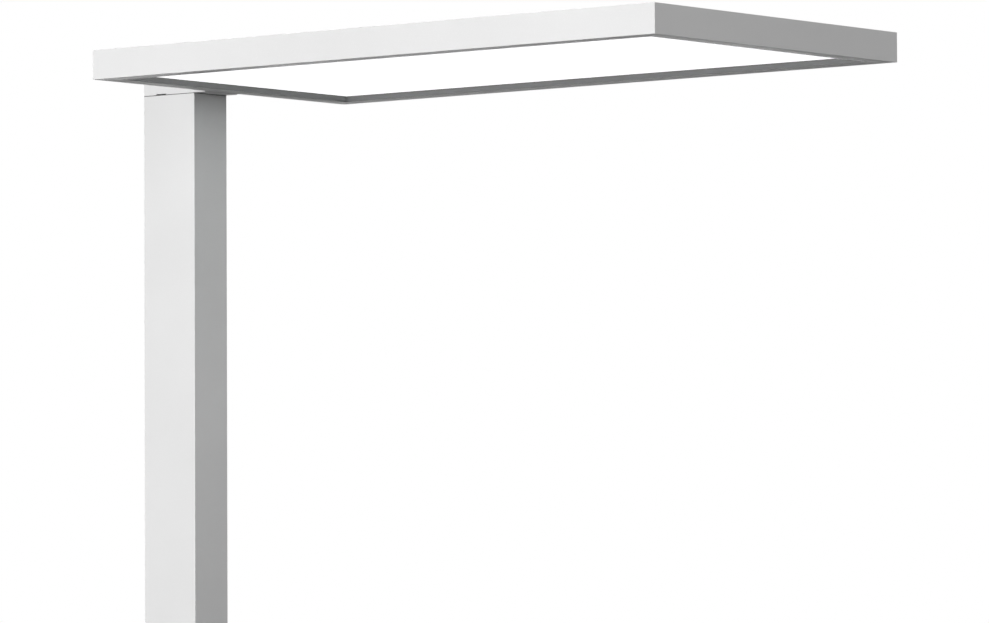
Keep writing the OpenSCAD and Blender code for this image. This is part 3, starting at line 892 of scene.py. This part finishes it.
@dataclass
class Head:
    """The light head: mitred rails, opal panel, top cover and what they hold."""

    rails: tuple[str, ...] = (
        "head_front_rail", "head_back_rail", "head_tip_rail", "head_mast_rail",
    )
    border: float = 19 * MM
    recess: float = 5.5 * MM
    reveal_slack: float = 0.3 * MM
    # The colour of the painted shade on the inner wall round the panel.
    reveal_shade_colour: Colour = grey(0.2)
    sag: float = 0.3 * MM
    strips: int = 8
    glow: float = 1.0
    box: tuple[Vector, Vector] = field(init=False)
    middle: Vector = field(init=False)

    def __post_init__(self) -> None:
        """Takes the head's box, and the middle of its underside, from its two long rails."""
        low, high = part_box("head_front_rail")
        far_low, far_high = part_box("head_back_rail")
        low, high = Vector(map(min, low, far_low)), Vector(map(max, high, far_high))
        self.box = (low, high)
        self.middle = Vector(((low.x + high.x) / 2, (low.y + high.y) / 2, low.z))

    def coat(self) -> bpy.types.Material:
        """The coat of the rails, with painted shade on the inner wall round the panel.

        Returns:
            The material.
        """
        low, high = self.box
        inwards = self.border - self.reveal_slack
        reveal_shade = RevealShade(
            (low.x + inwards, low.y + inwards),
            (high.x - inwards, high.y - inwards),
            low.z + self.recess + self.reveal_slack,
            self.reveal_shade_colour,
        )
        return PowderCoat("rail coat with painted recess shade", SILVER, reveal_shade=reveal_shade).material()

    def inset(self, point: Vector) -> float:
        """How far inside the head's outer edge a point lies, in metres."""
        low, high = self.box
        return min(point.x - low.x, high.x - point.x, point.y - low.y, high.y - point.y)

    def underside(self, shape: bmesh.types.BMesh) -> list[bmesh.types.BMFace]:
        """Finds the faces that look down at the level of the head's lower edge.

        Args:
            shape: a rail's shape.

        Returns:
            The faces.
        """
        level = self.box[0].z + EDGE
        return [
            face
            for face in shape.faces
            if face.normal.z < DOWNWARD and face.calc_center_median().z < level
        ]

    def crown(self, shape: bmesh.types.BMesh) -> None:
        """Rounds a rail's underside a little, as extruded sections are.

        The underside is cut along its length, and a point at the share u of the border's width
        from its outer edge sinks by sag * 4 * u * (1 - u).

        Args:
            shape: the rail's shape, which is changed.
        """
        edges = self.underside(shape)[0].edges
        along = max(edges, key=lambda edge: edge.calc_length())
        outer = min(edges, key=lambda edge: sum(self.inset(vert.co) for vert in edge.verts))
        start = outer.verts[0].co.copy()
        inward = Vector((0, 0, 1)).cross(along.verts[1].co - along.verts[0].co).normalized()
        if inward.dot(self.middle - start) < 0:
            inward = -inward
        for k in range(1, self.strips):
            faces = self.underside(shape)
            edges = dict.fromkeys(edge for face in faces for edge in face.edges)
            verts = dict.fromkeys(vert for face in faces for vert in face.verts)
            bmesh.ops.bisect_plane(
                shape,
                geom=[*faces, *edges, *verts],
                plane_co=start + inward * self.border * k / self.strips,
                plane_no=inward,
                dist=CUT_REACH,
            )
        for face in self.underside(shape):
            face.smooth = True
        for vert in shape.verts:
            if abs(vert.co.z - self.middle.z) < EDGE:
                share = min(1.0, max(0.0, self.inset(vert.co) / self.border))
                vert.co.z -= self.sag * 4 * share * (1 - share)

    def panel(self) -> None:
        """Lights the diffuser and the two lenses of the uplight."""
        middle, half = self.middle.y, self.middle.y - self.box[0].y - self.border
        dress("diffuser_panel", OpalPanel("lit opal", self.glow, middle, half).material())
        dress("uplight_lenses", OpalPanel("lit lens", self.glow, middle, half).material())
        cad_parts["diffuser_panel"].visible_diffuse = False

    def inside(self) -> None:
        """Dresses what the frame of the head encloses."""
        board = Moulding("white board", (0.85, 0.85, 0.82), 0.4).material()
        dress("light_guide", ClearAcrylic("clear acrylic").material())
        dress("reflector_sheet", Moulding("white film", grey(0.9), 0.6).material())
        dress(("led_strip_front", "led_strip_back", "uplight_boards"), board)
        dress("gear_tray", ZincSheet("zinc sheet").material())
        dress("terminal_block", Moulding("terminal white", CASE_WHITE).material())

    def build(self) -> None:
        """Makes and dresses the head."""
        coat = self.coat()
        for rail in self.rails:
            soften(rail, EDGE, coat, reshape=self.crown)
        soften("top_cover", EDGE, coat)
        self.panel()
        self.inside()


@dataclass
class Column:
    """The extruded column with the arm on top of it."""

    seam_height: float = 0.5 * MM
    seam_depth: float = 0.8 * MM
    seam_shadow_back: float = 0.1 * MM
    seam_shadow_short: float = 0.15 * MM
    slot: tuple[float, float] = (15 * MM, 27 * MM)
    slot_depth: float = 3 * MM
    slot_shadow_back: float = 0.15 * MM
    slot_shadow_height: float = 0.5 * MM
    ease: float = 0.02 * MM

    def seam(self) -> None:
        """Lays painted shadow under the arm: a near-black strip in the shadow groove, and a block
        in its slot.

        The strip lies seam_shadow_back inside the column's faces and ends seam_shadow_short before
        the groove's bottom, and the block lies slot_shadow_back inside the face. ease keeps both
        clear of their neighbours.
        """
        low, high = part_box("column_tube")
        ease, back = self.ease, self.seam_shadow_back
        under = Vector((low.x + back, low.y + back, high.z + ease))
        over = Vector((high.x - back, high.y - back, high.z + self.seam_height - ease))
        # Painted shadow: a near-black strip laid in the groove under the arm stands in for the
        # groove's shade.
        seal = collar("seam_shadow_strip", under, over, self.seam_depth - self.seam_shadow_short)
        dark = Rubber("painted seam shadow", grey(0.05), 0.0).material()
        add_piece("seam_shadow_strip", seal, dark, Body.LAMP)
        first, last = (low.x + along for along in self.slot)
        start = Vector((first + ease, low.y + self.slot_shadow_back, over.z + 2 * ease))
        end = Vector((last - ease, low.y + self.slot_depth - ease, over.z + self.slot_shadow_height))
        # Painted shadow: a near-black block in the slot stands in for the shade inside it.
        painted_shadow = Moulding("slot insert", grey(0.02), 0.6).material()
        add_piece("slot_shadow_block", slab("slot_shadow_block", start, end), painted_shadow, Body.LAMP)

    def build(self) -> None:
        """Makes and dresses the column, the arm and what they hold."""
        coat = PowderCoat("column coat", SILVER).material()
        for node in ("column_tube", "arm_block", "arm_cover"):
            soften(node, EDGE, coat)
        self.seam()
        sheath = Rubber("white sheath", (0.8, 0.8, 0.78), 0.0).material()
        bar = BareMetal("sawn aluminium", (0.75, 0.75, 0.76), 0.35).material()
        dress(("head_lead", "switch_lead", "tray_leads"), sheath)
        dress("lead_grommet", Rubber("black rubber", grey(0.03)).material())
        dress(("head_bracket", "corner_keys"), bar)
        dress("driver_carrier", ZincSheet("carrier zinc").material())
        dress("led_driver", Moulding("driver case", CASE_WHITE).material())


@dataclass
class Controls:
    """The control panel: bezel, two buttons with their signs, and the board behind.

    Each sign starts sign_root inside its button's face, and the pilot lamp lamp_root inside the
    bezel's.
    """

    sign_corners: tuple[tuple[float, float], ...] = ((-1.0, -0.6), (1.0, -0.6), (0.0, 1.0))
    sign_half: float = 2.3 * MM
    sign_root: float = 0.75 * MM
    sign_depth: float = 0.42 * MM
    lamp_radius: float = 1.1 * MM
    lamp_root: float = 0.2 * MM
    lamp_rise: float = 0.35 * MM
    lamp_reach: float = math.pi / 2 * 0.94
    lamp_rings: int = 7
    lamp_sides: int = 24

    def sign(self, body: Body, upwards: bool, material: bpy.types.Material) -> None:
        """Raises a small triangle on a button, which points where its light goes.

        Args:
            body: the button's body.
            upwards: True for the uplight.
            material: its finish.
        """
        name = body.value + "_sign"
        low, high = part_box(body.value)
        turn = (1.0, 1.0 if upwards else -1.0)
        outline = np.array(self.sign_corners) * self.sign_half * np.array(turn)
        centre = Vector((high.x - self.sign_root, (low.y + high.y) / 2, (low.z + high.z) / 2))
        add_piece(name, prism(name, outline, centre, self.sign_depth), material, body)

    def pilot(self) -> None:
        """Sets a small clear lamp between the buttons, a low dome turned about +X.

        At angle t its radius is lamp_radius * cos t and its height lamp_root + lamp_rise * sin t.
        """
        low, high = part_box("control_bezel")
        origin = Vector((high.x - self.lamp_root, (low.y + high.y) / 2, (low.z + high.z) / 2))
        angle = np.linspace(0.0, self.lamp_reach, self.lamp_rings)
        radius = self.lamp_radius * np.cos(angle)
        height = self.lamp_root + self.lamp_rise * np.sin(angle)
        profile = [(self.lamp_radius, 0.0), *zip(radius, height)]
        mesh = turned("pilot_lamp", profile, origin, Vector((1, 0, 0)), self.lamp_sides)
        finish = Moulding("pilot lens", (0.75, 0.78, 0.76), 0.15, grain_depth=0.0).material()
        add_piece("pilot_lamp", mesh, finish, Body.LAMP)

    def build(self) -> None:
        """Makes and dresses the controls."""
        dark = Moulding("bezel moulding", (0.055, 0.056, 0.058), 0.42).material()
        pale = Moulding("button moulding", grey(0.62), 0.38).material()
        ink = Moulding("sign ink", grey(0.05), 0.5).material()
        soften("control_bezel", MOULDED_EDGE, dark)
        for body in (Body.DOWN, Body.UP):
            soften(body.value, EDGE, pale, body)
        for body in (Body.DOWN, Body.UP):
            self.sign(body, body is Body.UP, ink)
        self.pilot()
        dress("switch_board", CircuitBoard("green board", (0.03, 0.2, 0.09)).material())
        dress("tact_switches", Moulding("switch black", grey(0.03)).material())


@dataclass
class Base:
    """The base plate with its pads, and the gland of the mains cord."""

    edge: float = 0.5 * MM
    peel_depth: float = 0.03 * MM
    scuff: float = 0.08

    def build(self) -> None:
        """Makes and dresses the base and the gland."""
        coat = PowderCoat(
            "base coat", SILVER, 0.5, peel_depth=self.peel_depth, scuff=self.scuff
        ).material()
        soften("base_plate", self.edge, coat)
        dress("base_pads", Rubber("pad rubber", grey(0.05)).material())
        nylon = Moulding("gland nylon", (0.035, 0.035, 0.036), 0.45).material()
        for node in ("gland_body", "gland_cap", "gland_nut"):
            soften(node, MOULDED_EDGE, nylon)
        dress("gland_seal", Rubber("seal rubber", grey(0.02)).material())


@dataclass
class Fasteners:
    """Every screw of the lamp, in one zinc-plated finish."""

    nodes: tuple[str, ...] = (
        "foot_screws", "driver_screws", "board_screws", "arm_cover_screws", "column_screws",
        "head_screws", "corner_key_screws", "top_cover_screws",
    )

    def build(self) -> None:
        """Dresses the screws."""
        dress(self.nodes, BareMetal("plated steel", (0.72, 0.72, 0.73), 0.28).material())


# ---------------------------------------------------------------------------------------------
# Studio
# ---------------------------------------------------------------------------------------------


@dataclass(frozen=True)
class SoftBox:
    """One square studio lamp that looks at the head."""

    name: str
    place: tuple[float, float, float]
    size: float
    power: float
    target: tuple[float, float, float] = (0.0, 0.0, 1.75)

    def build(self) -> None:
        """Hangs the lamp, which the camera itself does not see."""
        data = bpy.data.lights.new(self.name, "AREA")
        data.shape = "SQUARE"
        data.size = self.size
        data.energy = self.power
        lamp = bpy.data.objects.new(self.name, data)
        lamp.location = self.place
        lamp.rotation_mode = "QUATERNION"
        aim = Vector(self.target) - Vector(self.place)
        lamp.rotation_quaternion = aim.to_track_quat("-Z", "Y")
        lamp.visible_camera = False
        bpy.context.scene.collection.objects.link(lamp)


@dataclass
class Studio:
    """Floor, surroundings, lamps and the camera."""

    image_width: float = 989.0
    sensor: float = 36.0
    focal_px: float = 6635.2
    camera_place: tuple[float, float, float] = (3.7750, -4.5826, 1.3797)
    camera_reach: tuple[float, float] = (0.05, 200.0)
    yaw: float = math.radians(129.009)
    pitch: float = math.radians(3.191)
    roll: float = math.radians(-0.268)
    ambient: float = 0.01
    floor_half: float = 30.0
    floor_seen: float = 0.30
    floor_glow: float = 0.58
    floor_bounce: float = 0.30
    floor_roughness: float = 0.9
    fade: tuple[float, float] = (2.5, 7.0)
    lamps: tuple[SoftBox, ...] = (
        SoftBox("key", (-0.4, -6.5, 2.4), 2.0, 394.0),
        SoftBox("fill", (1.9, -1.9, 2.6), 0.8, 10.0),
        SoftBox("right", (6.0, 0.5, 3.2), 2.4, 99.0),
        SoftBox("behind", (-4.5, 5.0, 3.2), 3.0, 156.0),
        SoftBox("rear", (-4.5, 5.0, 1.3), 2.0, 15.0),
    )

    def camera(self) -> None:
        """Stands the camera where the photograph was taken from, without shift.

        It looks along yaw and pitch, and its right and up are then turned about that line by
        roll: right * cos(roll) + up * sin(roll), and up * cos(roll) - right * sin(roll).
        """
        data = bpy.data.cameras.new("camera")
        data.sensor_width = self.sensor
        data.lens = self.focal_px / self.image_width * self.sensor
        data.clip_start, data.clip_end = self.camera_reach
        ahead = Vector((
            math.cos(self.yaw) * math.cos(self.pitch),
            math.sin(self.yaw) * math.cos(self.pitch),
            math.sin(self.pitch),
        ))
        level = Vector((math.sin(self.yaw), -math.cos(self.yaw), 0.0))
        upright = level.cross(ahead)
        right = level * math.cos(self.roll) + upright * math.sin(self.roll)
        up = upright * math.cos(self.roll) - level * math.sin(self.roll)
        turn = Matrix((right, up, -ahead)).transposed().to_4x4()
        made = bpy.data.objects.new("camera", data)
        made.matrix_world = Matrix.Translation(self.camera_place) @ turn
        bpy.context.scene.collection.objects.link(made)
        bpy.context.scene.camera = made

    def floor(self) -> None:
        """Lays the pale floor, which keeps the lamp's shadow.

        The camera sees it as partly lit of itself, so that it is evenly pale from every side, and
        it turns to the white of the surroundings with its distance from the lamp.
        """
        half = self.floor_half
        corners = np.array([[-half, -half, 0], [half, -half, 0], [half, half, 0], [-half, half, 0]])
        mesh = surface("floor", corners, [(0, 1, 2, 3)])
        tree = ShaderTree("floor")
        seen = Signal(tree, shown(tree.material.node_tree, ("Is Transmission Ray",)))
        x, y, _ = tree.axes()
        far = (x * x + y * y).between(*(radius**2 for radius in self.fade))
        pale = tree.mix(far, grey(self.floor_seen), BLACK)
        glow = tree.mix(far, grey(self.floor_glow), WHITE)
        coat = tree.finish(
            Base_Color=tree.mix(seen, grey(self.floor_bounce), pale),
            Roughness=self.floor_roughness,
            Emission_Color=tree.mix(seen, BLACK, glow),
            Emission_Strength=1.0,
        )
        mesh.materials.append(coat)
        made = bpy.data.objects.new("floor", mesh)
        bpy.context.scene.collection.objects.link(made)

    def surroundings(self) -> None:
        """White to the camera and in reflections, and a plain grey light elsewhere.

        A Mix node's sockets 2 and 3 are the two values that it blends.
        """
        world = bpy.data.worlds.new("studio")
        bpy.context.scene.world = world
        world.use_nodes = True
        nodes, links = world.node_tree.nodes, world.node_tree.links
        nodes.clear()
        level = nodes.new("ShaderNodeMix")
        level.data_type = "FLOAT"
        level.inputs[2].default_value = self.ambient
        level.inputs[3].default_value = 1.0
        seen = shown(world.node_tree, ("Is Glossy Ray", "Is Transmission Ray"))
        links.new(seen, level.inputs[0])
        sky = nodes.new("ShaderNodeBackground")
        sky.inputs["Color"].default_value = rgba(WHITE)
        links.new(level.outputs[0], sky.inputs["Strength"])
        out = nodes.new("ShaderNodeOutputWorld")
        links.new(sky.outputs[0], out.inputs[0])

    def build(self) -> None:
        """Sets up everything round the lamp."""
        bpy.context.scene.view_settings.view_transform = "Standard"
        self.camera()
        self.floor()
        self.surroundings()
        for lamp in self.lamps:
            lamp.build()


def main() -> None:
    """Sets up the studio, then builds the lamp's sub-assemblies in order."""
    logging.basicConfig(level=logging.INFO, format="%(name)s: %(message)s")
    Studio().build()
    for part in (Head(), Column(), Controls(), Base(), Fasteners()):
        part.build()
        LOG.info("built %s", type(part).__name__)


if __name__ == "__main__":
    main()
